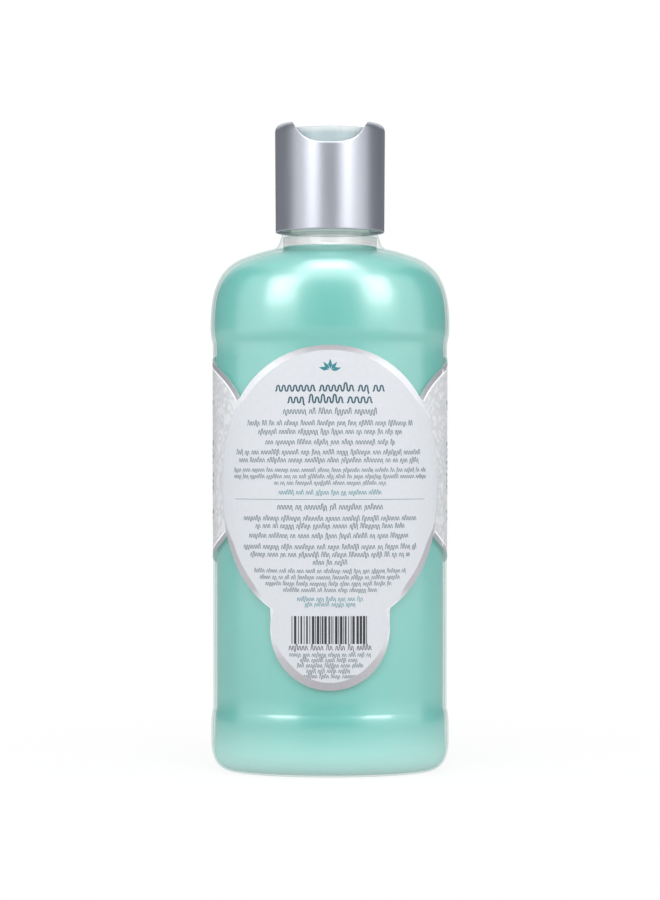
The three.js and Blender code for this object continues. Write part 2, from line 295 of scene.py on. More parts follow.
def clear_bottle():
    neck = outline((NECK_R + 1, COLLAR_TOP_Z), [
        (4, (NECK_R, COLLAR_TOP_Z), (NECK_R, COLLAR_TOP_Z + 1.2)),
        (4, (NECK_R, LAND_Z - 0.5)),
        (4, (NECK_R, LAND_Z), (NECK_R - 0.5, LAND_Z)),
        (3, (BORE_R, LAND_Z), (BORE_R, LAND_Z - 0.4)),
        (4, (BORE_R, COLLAR_TOP_Z - WALL)),
    ])
    outside = body_rows(0)[:-1]
    inside = [row for row in body_rows(WALL) if row[2] <= SLEEVE_Z]
    inside += [(SLEEVE_R, SLEEVE_R, z) for z in np.linspace(SLEEVE_Z + 0.2, SLEEVE_TOP, 4)]
    rows = outside + [(r, r, z) for r, z in neck] + inside[::-1]
    shell = lathe("bottle_shell", rows, BOTTLE_AROUND, smooth_to=50)
    first_inner = BOTTLE_AROUND * (len(outside) + len(neck) - 2)
    zones = [int(i > first_inner) for i in range(len(shell.data.polygons))]
    shell.data.polygons.foreach_set("material_index", zones)
    ridge = make_object("ridge", *screw_ridge(NECK_R - 0.3, THREAD_R, 2.8, 1.0, THREAD_LOW_Z))
    return join("clear_bottle", shell, ridge)


def shampoo_fill():
    """The liquid: a little closer to the wall at its foot, and a straight column in the collar."""
    near, far = body_rows(FILL_INSET_LOW), body_rows(FILL_INSET)
    rows = []
    for low, high in zip(near, far):
        if high[2] > GIRTH_Z and high[0] < FILL_SHOULDER_R:
            break
        share = ease(high[2], 3, 14)
        rows.append(tuple(a + (b - a) * share for a, b in zip(low, high)))
    top = outline((rows[-1][0], rows[-1][2]), [
        (10, (19, 167.9), (FILL_NECK_R, 167.5), (FILL_NECK_R, 168.9)),
        (3, (FILL_NECK_R, FILL_Z - 0.4)),
        (4, (FILL_NECK_R, FILL_Z), (FILL_NECK_R - 0.7, FILL_Z)),
        (4, (FILL_NECK_R - 2, FILL_Z - 0.4), (FILL_NECK_R - 5, FILL_Z - 0.5)),
        (2, (0, FILL_Z - 0.5)),
    ])
    rows += [(a, half_depth(a, z, FILL_INSET), z) for a, z in top[1:]]
    return lathe("shampoo_fill", rows, 192, smooth_to=60)


# ---------- label ----------

def panel_half_width(z):
    return PANEL_A - 0.15 * (PANEL_HIGH - z) / (PANEL_HIGH - PANEL_LOW)


def rounding_table():
    """Distance round the panel and the ellipse angle there, from the middle of the rear face towards +X."""
    a = panel_half_width((PANEL_LOW + PANEL_HIGH) / 2)
    b = a - CORNER
    angle = np.linspace(0, 2 * math.pi, 4001)
    x, y = a * np.sin(angle), -b * np.cos(angle)
    along = np.concatenate([[0], np.cumsum(np.hypot(np.diff(x), np.diff(y)))])
    return along, angle


ALONG, ANGLE = rounding_table()
PERIMETER = ALONG[-1]
HALF_WAY = PERIMETER / 2
LAP_START = PERIMETER / 4 - LAP_START_BACK


def lap_lift(along):
    """How far the film's outer end stands off where it covers the film's own start."""
    over = along - LAP_START
    if over > LAP:
        return 0.0
    return (FILM_THICK + 0.02) * min(1, max(0, (over + 1.5) / 1.5))


def on_panel(along, z, out):
    """The point at a distance round the panel, at a height, `out` off its surface."""
    angle = np.interp(along % PERIMETER, ALONG, ANGLE)
    a = panel_half_width(z) + out
    return (a * math.sin(angle), -(a - CORNER) * math.cos(angle), z)


def lobe(distance, reach, height, power=2):
    share = 1 - min(1, abs(distance) / reach) ** power
    return height * share ** (1 / power)


def front_edges(along):
    """Lowest and highest point of the front lobe at a distance round the panel."""
    wrapped = (along + HALF_WAY) % PERIMETER - HALF_WAY
    from_front = HALF_WAY - abs(wrapped)
    f = FRONT_LOBE
    low = f["middle"] - lobe(from_front, f["along"], f["down"], f["low_power"])
    high = f["middle"] + lobe(from_front, f["along"], f["up"], f["top_power"])
    return low, high


def label_edges(along):
    wrapped = (along + HALF_WAY) % PERIMETER - HALF_WAY
    low, high = front_edges(wrapped)
    for part in (REAR_LOBE, TAIL_LOBE):
        if abs(wrapped) < part["along"]:
            half = lobe(wrapped, part["along"], part["up"])
            low = min(low, part["middle"] - half)
            high = max(high, part["middle"] + half)
    return low, high


def film(name, stations, rows, out, thick):
    """A thin sheet on the panel from (distance, lowest, highest, extra lift) stations."""
    points = []
    for top in (out + thick, out):
        for along, low, high, lift in stations:
            for z in np.linspace(low, high, rows):
                points.append(on_panel(along, z, top + lift))
    return make_object(name, points, sheet_faces(len(stations), rows), smooth_to=60)


def label_film():
    """The printed film, wrapped once round the panel and lapped over its own start at the +X side."""
    count = 520
    stations = []
    for i in range(count + 1):
        along = LAP_START + (PERIMETER + LAP) * i / count
        low, high = label_edges(along)
        lift = lap_lift(along % PERIMETER) if along > LAP_START + PERIMETER / 2 else 0.0
        stations.append((along, low, high, lift))
    rows = 14
    made = film("label_film", stations, rows, FILM_OUT, FILM_THICK)
    quads = count * (rows - 1)
    backs = [int(quads <= i < 2 * quads) for i in range(len(made.data.polygons))]
    made.data.polygons.foreach_set("material_index", backs)
    return made


def lap_edge():
    """The pale cut edge of the film's outer end."""
    low, high = label_edges(LAP_START + LAP)
    wide = 0.3
    path = [(LAP_START + LAP - wide, z) for z in np.linspace(low, high, 40)]
    return gather("lap_edge", [strip(path, [-wide] * len(path), FILM_OUT + FILM_THICK)])


def rear_half_width(z):
    """Half width, round the panel, of the white rear field and its tail."""
    halves = [0.02]
    for part in (REAR_LOBE, TAIL_LOBE):
        halves.append(lobe(z - part["middle"], part["up"], part["along"]))
    return max(halves)


def patch(rows, columns, out):
    """Points and faces of a thin sheet on the panel from (height, least distance, greatest distance) rows."""
    points = []
    for top in (out + LAYER, out):
        for z, low, high in rows:
            for s in np.linspace(high, low, columns):
                points.append(on_panel(s, z, top))
    return points, sheet_faces(len(rows), columns)


def spaced_heights(middle, half, count):
    """Heights from middle - half to middle + half, closer together towards both ends."""
    return [middle - half * math.cos(math.pi * i / count) for i in range(count + 1)]


def rear_field():
    """The plain field behind the text, as a thin layer of its own."""
    low = TAIL_LOBE["middle"] - TAIL_LOBE["up"]
    high = REAR_LOBE["middle"] + REAR_LOBE["up"]
    rows = []
    for z in spaced_heights((low + high) / 2, (high - low) / 2, 160):
        half = rear_half_width(z) - 0.05
        rows.append((z, -half, half))
    return gather("label_field", [patch(rows, 61, FILM_OUT + FILM_THICK)])


def oval(s, z, half_s, half_z, out, count=24, columns=13):
    """An oval printed patch."""
    rows = []
    for height in spaced_heights(z, half_z, count):
        half = half_s * math.sqrt(max(0, 1 - ((height - z) / half_z) ** 2)) + 0.01
        rows.append((height, s - half, s + half))
    return patch(rows, columns, out)


def front_field():
    """The pale oval on the front face."""
    m = MEDALLION
    face = oval(HALF_WAY, m["middle"], m["along"], m["up"], FILM_OUT + FILM_THICK, 90, 61)
    return gather("front_field", [face])


def front_ring():
    """Silver edging of the front oval."""
    m = MEDALLION
    turns = np.linspace(0, 2 * math.pi, 241)
    path = [(HALF_WAY + m["along"] * math.sin(v), m["middle"] + m["up"] * math.cos(v)) for v in turns]
    return gather("front_ring", [strip(path, [-m["edge"]] * len(path), FILM_OUT + FILM_THICK + LAYER)])


def left_of(path):
    """Unit steps to the left of a path, one at each of its points."""
    step = np.gradient(path, axis=0)
    step /= np.linalg.norm(step, axis=1)[:, None]
    return np.column_stack([-step[:, 1], step[:, 0]])


def strip(path, widths, out, thick=LAYER, centred=False):
    """Points and faces of a band to the left of a path of (distance, height) points, or centred on it."""
    path = np.array(path, float)
    across = left_of(path) * np.array(widths, float)[:, None]
    if centred:
        path = path - across / 2
    points = []
    for top in (out + thick, out):
        for p, q in zip(path, path + across):
            lift = lap_lift(p[0] % PERIMETER)
            points.append(on_panel(p[0], p[1], top + lift))
            points.append(on_panel(q[0], q[1], top + lift))
    return points, sheet_faces(len(path), 2)


def gather(name, parts):
    """One object out of several (points, faces) pairs."""
    points, faces = [], []
    for some_points, some_faces in parts:
        start = len(points)
        points.extend(some_points)
        faces.extend(tuple(start + k for k in face) for face in some_faces)
    return make_object(name, points, faces, smooth_to=60)


def ease(x, low, high):
    t = min(1, max(0, (x - low) / (high - low)))
    return t * t * (3 - 2 * t)


def cusp_height():
    """Where the rear lobe and its tail cross."""
    heights = np.linspace(TAIL_LOBE["middle"], REAR_LOBE["middle"], 2000)
    for z in heights:
        tail = lobe(z - TAIL_LOBE["middle"], TAIL_LOBE["up"], TAIL_LOBE["along"])
        rear = lobe(z - REAR_LOBE["middle"], REAR_LOBE["up"], REAR_LOBE["along"])
        if rear >= tail:
            return z
    return heights[0]


CUSP_Z = cusp_height()


def rear_border():
    """Silver edging of the rear field: broad along the free arcs, a hairline at the front lobe."""
    parts = []
    top, bottom = REAR_LOBE["middle"] + REAR_LOBE["up"], TAIL_LOBE["middle"] - TAIL_LOBE["up"]
    rear_angles = np.linspace(0, 1, 200)
    for part, z_high, z_low in ((REAR_LOBE, top, CUSP_Z), (TAIL_LOBE, CUSP_Z, bottom)):
        first = math.acos(max(-1, min(1, (z_high - part["middle"]) / part["up"])))
        last = math.acos(max(-1, min(1, (z_low - part["middle"]) / part["up"])))
        arc = [first + (last - first) * t for t in rear_angles]
        path = [(part["along"] * math.sin(v), part["middle"] + part["up"] * math.cos(v)) for v in arc]
        widths = [border_width(z) for s, z in path]
        parts.append(strip(path, [-w for w in widths], FILM_OUT + FILM_THICK + LAYER))
        mirrored = [(-s, z) for s, z in path]
        parts.append(strip(mirrored, widths, FILM_OUT + FILM_THICK + LAYER))
    return gather("label_border", parts)


def border_width(z):
    """Width of the silver edging at a height: narrow at the cusps, a little less broad at the crown."""
    if z < CUSP_Z:
        return 0.2 + 2.3 * ease(-z, -50, -33)
    free = max(ease(z, 113, 124), ease(-z, -82, -72))
    crown = 0.5 * ease(z, 131, 137)
    return 0.2 + (0.1 + 1.8 * free - crown) * ease(z, CUSP_Z, CUSP_Z + 8)


def front_path(which, start, end):
    """Points along the front lobe's low (0) or high (1) edge, by distance round the panel."""
    return [(s, front_edges(s)[which]) for s in np.linspace(start, end, 160)]


def meeting_distance(which):
    """How far round the panel the rear lobe's edge runs into the front lobe's."""
    for s in np.linspace(0, REAR_LOBE["along"], 800):
        half = lobe(s, REAR_LOBE["along"], REAR_LOBE["up"])
        rear = REAR_LOBE["middle"] + (half if which else -half)
        front = front_edges(s)[which]
        if (rear <= front) if which else (rear >= front):
            return s
    return REAR_LOBE["along"]


def front_border(shift, width, name):
    """A band that follows the front lobe's two edges, `shift` inside them."""
    parts = []
    for which in (0, 1):
        reach = meeting_distance(which)
        edge = front_path(which, reach, PERIMETER - reach)
        inward = 1 if which == 0 else -1
        path = np.array(edge)
        path = path + left_of(path) * inward * shift
        parts.append(strip(path, [inward * width] * len(path), FILM_OUT + FILM_THICK))
    return gather(name, parts)


# ---------- print ----------

def stamp(low_s, high_s, low_z, high_z, out):
    """A small printed mark as a thin box on the panel."""
    pieces = max(1, int(abs(high_s - low_s) / 2))
    edges = np.linspace(low_s, high_s, pieces + 1)
    points = []
    for top in (out + LAYER * 0.6, out):
        for s in edges:
            points.append(on_panel(s, low_z, top))
            points.append(on_panel(s, high_z, top))
    return points, sheet_faces(len(edges), 2)


PRINT_OUT = FILM_OUT + FILM_THICK + LAYER

# Blocks of print: height of the first line, step down to the next, height of a line, half lengths.
TITLE = (123.5, 3.7, 1.85, (17.5, 13.5))
SMALL_PRINT = (
    (116.1, 0, 1.35, (15,)),
    (112.4, 2.7, 1.15, (27.5, 23.5)),
    (106.4, 0, 1.15, (21,)),
    (103.2, 2.5, 1.15, (32, 31)),
    (97.6, 2.05, 0.95, (33, 33, 18)),
    (85.9, 0, 1.3, (17,)),
    (82.3, 2.4, 1.15, (29, 24.5)),
    (76.8, 0, 1.15, (27,)),
    (73.3, 2.45, 1.15, (29, 26.5, 5.5)),
    (65.7, 2, 0.95, (25, 23, 21, 15)),
    (39.3, 1.7, 0.95, (13, 9.5, 10.5, 7.5, 8.5)),
)
TEAL_PRINT = ((90.5, 0, 1.05, (16.5,)), (56.9, 1.7, 1, (10.5, 8)))
SIDE_PRINT = (
    (119.5, 2.1, 1.1, (6, 5)),
    (106, 2, 1.1, (6, 5, 5.5, 6, 5, 6.5, 5.5, 6, 4.5)),
    (84, 2, 1.1, (6, 5)),
)
SIDE_MIDDLE = 53
SPRIG_FOOT = (0, 129.2)
SPRIG = ((-1.35, 3.6), (-0.7, 3.4), (0.0, 3.6), (0.7, 3.4), (1.35, 3.6))  # each leaf's turn and length
FRONT_TITLE = (106.8, 8.6, 4.2, (25, 19))
FRONT_TEAL = (91.8, 0, 1.9, (22,))
FRONT_SMALL = ((69.6, 0, 1.4, (13,)), (131.2, 0, 1.3, (11,)))
FRONT_SPRIG_Z = 77.6
# Pads of the paw: distance from the middle, height, half width, half height.
PAW = [(0, 115.6, 2.9, 2.3), (-3.7, 118.8, 1.0, 1.4), (-1.35, 120.6, 1.05, 1.5), (1.35, 120.6, 1.05, 1.5),
       (3.7, 118.8, 1.0, 1.4)]
RIBBON = (82.6, 87.6)
RIBBON_HALF = 21
RULE_Z = 88.4
RULE_HALF = 32.5
BARS_LOW = 42.8
BARS_HIGH = 51.6
BARS_HALF = 12.2
UNDER_BARS = (41.5, 13.2, 1.3)  # height, half length, height of the line


def wave(rng, start, stop, base, tall, pitch):
    """A wavy path from start to stop whose crests and hollows now and then reach further out."""
    turns = max(1, round((stop - start) / pitch))
    reaches = ((0, 0, 0, 0, -0.4), (1, 1, 1, 1.45))
    ends = [base + tall * rng.choice(reaches[i % 2]) for i in range(2 * turns + 1)]
    path = []
    fine = 5
    for i, (a, b) in enumerate(zip(ends, ends[1:])):
        for k in range(fine):
            turn = math.pi * k / fine
            along = (turn + 0.4 * math.sin(2 * turn)) / math.pi
            path.append((start + (stop - start) * (i + along) / (2 * turns),
                         a + (b - a) * (1 - math.cos(turn)) / 2))
    path.append((stop, ends[-1]))
    return path


def wavy_line(rng, z, half, tall, bold=False, out=PRINT_OUT, centre=0.0):
    """A line of separate wavy strokes in the place of words; they form no letters."""
    pitch = tall * (1.0 if bold else 0.8)
    pen = tall * (0.27 if bold else 0.17)
    parts = []
    at, end = centre - half, centre + half
    while at < end - pitch:
        stop = min(at + pitch * rng.randint(2, 7), end)
        path = wave(rng, at, stop, z - tall / 2, tall, pitch)
        parts.append(strip(path, [pen] * len(path), out, LAYER * 0.6, centred=True))
        at = stop + tall * 0.6
    return parts


def wavy_block(rng, block, **how):
    """The wavy lines of one block of print."""
    first, step, tall, halves = block
    parts = []
    for i, half in enumerate(halves):
        parts += wavy_line(rng, first - i * step, half, tall, **how)
    return parts


def bars(rng, half, low, high):
    """A row of upright bars with random widths; it encodes nothing."""
    parts = []
    unit = 0.26
    s = -half
    while s < half - unit:
        width = unit * rng.choice((1, 1, 2, 3))
        parts.append(stamp(s, min(s + width, half), low, high, PRINT_OUT))
        s += width + unit * rng.choice((1, 1, 2))
    return parts


def leaf_from(foot, length, turn):
    """A pointed leaf on the panel that grows from a point, turned from upright."""
    count = 20
    heading = np.array([math.sin(turn), math.cos(turn)])
    side = np.array([-heading[1], heading[0]])
    path, widths = [], []
    for i in range(count + 1):
        t = i / count
        width = length * 0.34 * max(0.03, math.sin(math.pi * t ** 0.8))
        path.append(np.array(foot) + heading * length * (0.12 + 0.88 * t) - side * width / 2)
        widths.append(width)
    return strip(path, widths, PRINT_OUT, LAYER * 0.6)


def title_print(rng):
    parts = wavy_block(rng, TITLE, bold=True)
    parts += wavy_block(rng, FRONT_TITLE, bold=True, centre=HALF_WAY)
    return gather("print_title", parts)


def small_print(rng):
    parts = [stamp(-RULE_HALF, RULE_HALF, RULE_Z - 0.07, RULE_Z + 0.07, PRINT_OUT)]
    for block in SMALL_PRINT:
        parts += wavy_block(rng, block)
    for block in FRONT_SMALL:
        parts += wavy_block(rng, block, out=FILM_OUT + FILM_THICK, centre=HALF_WAY)
    return gather("print_text", parts)


def teal_print(rng):
    parts = wavy_block(rng, FRONT_TEAL, centre=HALF_WAY)
    for block in TEAL_PRINT:
        parts += wavy_block(rng, block)
    for turn, length in SPRIG:
        parts.append(leaf_from(SPRIG_FOOT, length, turn))
        parts.append(leaf_from((HALF_WAY, FRONT_SPRIG_Z), length * 1.3, turn))
    for s, z, half_s, half_z in PAW:
        parts.append(oval(HALF_WAY + s, z, half_s, half_z, PRINT_OUT))
    rows = [(z, HALF_WAY - RIBBON_HALF, HALF_WAY + RIBBON_HALF) for z in np.linspace(*RIBBON, 5)]
    parts.append(patch(rows, 41, PRINT_OUT))
    return gather("print_teal", parts)


def ribbon_print(rng):
    """Pale print on the front ribbon."""
    parts = wavy_line(rng, sum(RIBBON) / 2, RIBBON_HALF - 3, 1.9, out=PRINT_OUT + LAYER, centre=HALF_WAY)
    return gather("print_pale", parts)


def side_print(rng):
    """Short lines that run round both sides of the label."""
    parts = []
    for side in (-1, 1):
        for block in SIDE_PRINT:
            parts += wavy_block(rng, block, out=FILM_OUT + FILM_THICK, centre=side * SIDE_MIDDLE)
    return gather("print_sides", parts)


def bar_print(rng):
    parts = bars(rng, BARS_HALF, BARS_LOW, BARS_HIGH)
    parts += wavy_line(rng, *UNDER_BARS)
    return gather("print_bars", parts)


# ---------- cap ----------

SCOOP_CURVE = bezier(SCOOP_EDGE, 200)


def scoop_height(x):
    """Height of the thumb scoop's edge at distances `x` from the middle, endless beyond its two ends."""
    return np.interp(np.abs(x), SCOOP_CURVE[:, 0], SCOOP_CURVE[:, 1], right=np.inf)


def shell_profile(inset):
    """The shell's wall and rounded rim from its lower edge to the hole, moved inwards by `inset`."""
    low = CAP_LOW + SHELL_THICK / 2
    wall = [(SHELL_LOW_R - inset + (SHELL_TOP_R - SHELL_LOW_R) * t,
             low + (CAP_TOP - RIM_ROUND_UP - low) * t) for t in np.linspace(0, 1, 60)]
    up = RIM_ROUND_UP - inset * 0.8
    across = SHELL_TOP_R - inset - RIM_HOLE_R
    top = CAP_TOP - inset
    rim = [(RIM_HOLE_R + across * math.cos(v), top - up + up * math.sin(v))
           for v in np.linspace(0, math.pi / 2, 24)[1:]]
    return np.array(wall + rim)


def cut_profile(profile, angle, behind):
    """A profile as 64 even points, ended where the scoop cuts it at an angle from the rear."""
    length = np.concatenate([[0], np.cumsum(np.linalg.norm(np.diff(profile, axis=0), axis=1))])
    last = length[-1]
    if behind:
        close = np.linspace(0, last, 4000)
        r, z = (np.interp(close, length, profile[:, k]) for k in (0, 1))
        cut = np.flatnonzero(z > scoop_height(r * math.sin(angle)))
        if len(cut):
            last = close[cut[0] - 1]
    even = np.linspace(0, last, 64)
    return np.column_stack([np.interp(even, length, profile[:, k]) for k in (0, 1)])


def shell_columns():
    """Angles round the cap from the rear, closer together across the scoop."""
    reach = math.radians(50)
    near = list(np.linspace(-reach, reach, 260))
    far = list(np.linspace(reach, 2 * math.pi - reach, 150))[1:-1]
    return near + far


def round_end(outer, inner, heading):
    """Points of a rounded end between an outer and an inner point, bulging along `heading`."""
    count = 6
    middle = (outer + inner) / 2
    across = (outer - inner) / 2
    bulge = heading * np.linalg.norm(across)
    turns = [math.pi * i / count for i in range(1, count)]
    return [middle + across * math.cos(v) + bulge * math.sin(v) for v in turns]


def cap_shell():
    outer, inner = shell_profile(0), shell_profile(SHELL_THICK)
    angles = shell_columns()
    points = []
    count = None
    for angle in angles:
        behind = abs(angle) < math.pi / 2
        out = cut_profile(outer, angle, behind)
        back = cut_profile(inner, angle, behind)[::-1]
        heading = out[-1] - out[-3]
        heading /= np.linalg.norm(heading)
        section = list(out) + round_end(out[-1], back[0], heading) + list(back)
        section += round_end(back[-1], out[0], np.array([0.0, -1.0]))
        count = len(section)
        points.extend((r * math.sin(angle), -r * math.cos(angle), z) for r, z in section)
    faces = []
    for c in range(len(angles)):
        d = (c + 1) % len(angles)
        for r in range(count):
            q = (r + 1) % count
            faces.append((c * count + r, d * count + r, d * count + q, c * count + q))
    return make_object("cap_shell_fine", points, faces, smooth_to=40)


def scoop_lip():
    """A thin rounded bead along the scoop's edge, just proud of the cut."""
    edge = SCOOP_CURVE[SCOOP_CURVE[:, 1] < CAP_TOP - 0.25][1::2]
    centres = []
    for x, edge_z in np.vstack([edge[::-1] * [-1, 1], edge]):
        z = edge_z + 0.08
        radius = SHELL_TOP_R - 0.3
        if z > CAP_TOP - RIM_ROUND_UP:
            up = (z - CAP_TOP + RIM_ROUND_UP) / RIM_ROUND_UP
            radius = RIM_HOLE_R + (SHELL_TOP_R - RIM_HOLE_R) * math.sqrt(max(0, 1 - up * up)) - 0.3
        centres.append((x, -math.sqrt(max(radius * radius - x * x, 0)), z))
    centres = np.array(centres)
    step = np.gradient(centres, axis=0)
    step /= np.linalg.norm(step, axis=1)[:, None]
    outward = centres * [1, 1, 0]
    outward /= np.linalg.norm(outward, axis=1)[:, None]
    across = np.cross(step, outward)
    around = 10
    points = []
    for centre, out, side in zip(centres, outward, across):
        for k in range(around):
            turn = 2 * math.pi * k / around
            points.append(centre + LIP_R * (out * math.cos(turn) + side * math.sin(turn)))
    rings = [list(range(i * around, (i + 1) * around)) for i in range(len(centres))]
    faces = [face for low, high in zip(rings, rings[1:]) for face in ring_faces(low, high)]
    faces += [tuple(rings[0][::-1]), tuple(rings[-1])]
    return make_object("scoop_lip", points, faces, smooth_to=60)


# ---------- materials ----------

def linear(*rgb):
    """An sRGB colour of 0 to 255 as linear RGBA."""
    channels = [c / 255 for c in rgb]
    return tuple(c / 12.92 if c <= 0.04045 else ((c + 0.055) / 1.055) ** 2.4 for c in channels) + (1.0,)


class Nodes:
    """A material's node tree, with short calls to add and link nodes."""

    def __init__(self, name):
        self.material = bpy.data.materials.new(name)
        self.material.use_nodes = True
        self.tree = self.material.node_tree
        self.tree.nodes.clear()
        self.output = self.add("ShaderNodeOutputMaterial")

    def add(self, kind, **values):
        node = self.tree.nodes.new(kind)
        for key, value in values.items():
            setattr(node, key, value)
        return node

    def link(self, source, target):
        self.tree.links.new(source, target)

    def principled(self, **values):
        node = self.add("ShaderNodeBsdfPrincipled")
        for key, value in values.items():
            node.inputs[key].default_value = value
        self.link(node.outputs[0], self.output.inputs["Surface"])
        return node

    def place(self):
        return self.add("ShaderNodeTexCoord").outputs["Object"]

    def noise(self, scale, detail=3.0, roughness=0.5, stretch=None):
        node = self.add("ShaderNodeTexNoise")
        node.inputs["Scale"].default_value = scale
        node.inputs["Detail"].default_value = detail
        node.inputs["Roughness"].default_value = roughness
        source = self.place()
        if stretch:
            mapping = self.add("ShaderNodeMapping")
            mapping.inputs["Scale"].default_value = stretch
            self.link(source, mapping.inputs["Vector"])
            source = mapping.outputs[0]
        self.link(source, node.inputs["Vector"])
        return node.outputs["Fac"]

    def cells(self, scale, feature="F1"):
        node = self.add("ShaderNodeTexVoronoi", feature=feature)
        node.inputs["Scale"].default_value = scale
        self.link(self.place(), node.inputs["Vector"])
        return node.outputs["Distance"]

    def ramp(self, source, stops):
        node = self.add("ShaderNodeValToRGB")
        ramp = node.color_ramp
        while len(ramp.elements) < len(stops):
            ramp.elements.new(0.5)
        for element, (at, colour) in zip(ramp.elements, stops):
            element.position = at
            element.color = colour
        self.link(source, node.inputs["Fac"])
        return node.outputs["Color"]

    def span(self, source, low, high, to_low=0.0, to_high=1.0):
        node = self.add("ShaderNodeMapRange")
        values = {"From Min": low, "From Max": high, "To Min": to_low, "To Max": to_high}
        for key, value in values.items():
            node.inputs[key].default_value = value
        self.link(source, node.inputs["Value"])
        return node.outputs["Result"]

    def rise(self, heights, amount=1.0):
        """A share that goes from 0 to `amount` between two heights."""
        height = self.add("ShaderNodeSeparateXYZ")
        self.link(self.place(), height.inputs[0])
        return self.span(height.outputs["Z"], heights[0] * MM, heights[1] * MM, 0.0, amount)

    def blend(self, kind, fac, a, b):
        node = self.add("ShaderNodeMix", data_type="RGBA", blend_type=kind)
        for socket, value in ((node.inputs[0], fac), (node.inputs[6], a), (node.inputs[7], b)):
            if isinstance(value, (tuple, float, int)):
                socket.default_value = value
            else:
                self.link(value, socket)
        return node.outputs[2]

    def cloud_with_painted_glow_above(self, clear, heights, amount):
        """A shader that turns from clear to cloudy between two heights; the cloud carries a painted glow, an
        emission in place of light shining through it.
        """
        cloudy = self.add("ShaderNodeBsdfDiffuse")
        cloudy.inputs["Color"].default_value = linear(100, 108, 104)
        # Painted glow: the emission lightens the cloud, which the cap shades from the lamps.
        inner = self.add("ShaderNodeEmission")
        inner.inputs["Color"].default_value = linear(206, 222, 217)
        inner.inputs["Strength"].default_value = 0.75
        cloud_and_painted_glow = self.add("ShaderNodeAddShader")
        self.link(cloudy.outputs[0], cloud_and_painted_glow.inputs[0])
        self.link(inner.outputs[0], cloud_and_painted_glow.inputs[1])
        wall = self.add("ShaderNodeMixShader")
        self.link(self.rise(heights, amount), wall.inputs[0])
        self.link(clear.outputs[0], wall.inputs[1])
        self.link(cloud_and_painted_glow.outputs[0], wall.inputs[2])
        return wall

    def bump(self, source, distance, target):
        node = self.add("ShaderNodeBump")
        node.inputs["Distance"].default_value = distance
        self.link(source, node.inputs["Height"])
        self.link(node.outputs[0], target.inputs["Normal"])
        return node


def grey(value):
    return (value, value, value, 1.0)


def clear_pet():
    """Thin clear plastic: see-through, softly glossy, greyer at grazing angles, cloudy at the top with a
    painted glow.
    """
    n = Nodes("clear_pet")
    clear = n.add("ShaderNodeBsdfTransparent")
    facing = n.add("ShaderNodeLayerWeight")
    facing.inputs["Blend"].default_value = 0.5
    tint = n.ramp(facing.outputs["Facing"], [(0.0, grey(0.995)), (0.7, grey(0.985)),
                                             (0.93, linear(234, 248, 245)), (1.0, linear(200, 226, 222))])
    n.link(tint, clear.inputs["Color"])
    # Cloudy with a painted glow just under the cap.
    wall = n.cloud_with_painted_glow_above(clear, CLOUD_AND_PAINTED_GLOW_OUTSIDE, 0.4)
    gloss = n.add("ShaderNodeBsdfGlossy")
    gloss.inputs["Roughness"].default_value = 0.26
    fresnel = n.add("ShaderNodeFresnel")
    fresnel.inputs["IOR"].default_value = 2.0
    limit = n.add("ShaderNodeMath", operation="MINIMUM")
    limit.inputs[1].default_value = 0.16
    n.link(fresnel.outputs[0], limit.inputs[0])
    mix = n.add("ShaderNodeMixShader")
    n.link(limit.outputs[0], mix.inputs[0])
    n.link(wall.outputs[0], mix.inputs[1])
    n.link(gloss.outputs[0], mix.inputs[2])
    n.link(mix.outputs[0], n.output.inputs["Surface"])
    wave = n.noise(60.0, 2.0, 0.4, (1, 1, 0.35))
    n.bump(wave, 0.0001, gloss)
    return n.material


def clear_inner():
    """The wall's inner face: it hardly shows where the shampoo wets it, and is cloudy with a painted glow
    above the shampoo.
    """
    n = Nodes("clear_inner")
    clear = n.add("ShaderNodeBsdfTransparent")
    haze = n.noise(40.0, 2.0)
    n.link(n.ramp(haze, [(0.3, grey(0.985)), (0.7, grey(1.0))]), clear.inputs["Color"])
    n.link(n.cloud_with_painted_glow_above(clear, CLOUD_AND_PAINTED_GLOW_INSIDE, 0.9).outputs[0], n.output.inputs["Surface"])
    return n.material


def film_back_painted_glow():
    """The film's white back, with a painted glow: an emission in place of the light that comes through the
    film.
    """
    n = Nodes("film_back_painted_glow")
    surface = n.principled(Roughness=0.5)
    fibre = n.noise(500.0, 3.0)
    n.link(n.ramp(fibre, [(0.35, linear(222, 232, 231)), (0.65, linear(234, 242, 241))]),
           surface.inputs["Base Color"])
    # Painted glow: the emission lights the back, which the lamps don't reach through the wall.
    surface.inputs["Emission Color"].default_value = linear(205, 224, 221)
    surface.inputs["Emission Strength"].default_value = 0.45
    return n.material


def pearl_shampoo():
    """Teal pearl shampoo: faint slow swirls, a pearly sheen at its edges, painted shade in the neck and a
    painted pool of light at the foot.
    """
    n = Nodes("pearl_shampoo")
    surface = n.principled(Roughness=0.42, IOR=1.6)
    surface.inputs["Sheen Weight"].default_value = 0.3
    surface.inputs["Sheen Roughness"].default_value = 0.4
    surface.inputs["Sheen Tint"].default_value = linear(214, 246, 240)
    swirl = n.noise(28.0, 3.0, 0.55, (1, 1, 0.4))
    body = n.ramp(swirl, [(0.3, linear(104, 197, 185)), (0.7, linear(113, 206, 195))])
    # A painted pool of light at the foot, in place of light bounced up from the floor.
    body = n.blend("MIX", n.rise(PAINTED_FOOT_LIGHT), body, linear(196, 250, 242))
    # Painted shade in the neck under the cap.
    body = n.blend("MIX", n.rise(PAINTED_NECK_SHADE, 0.75), body, linear(124, 172, 166))
    n.link(body, surface.inputs["Base Color"])
    grain = n.noise(900.0, 2.0)
    n.bump(grain, 0.00002, surface)
    return n.material


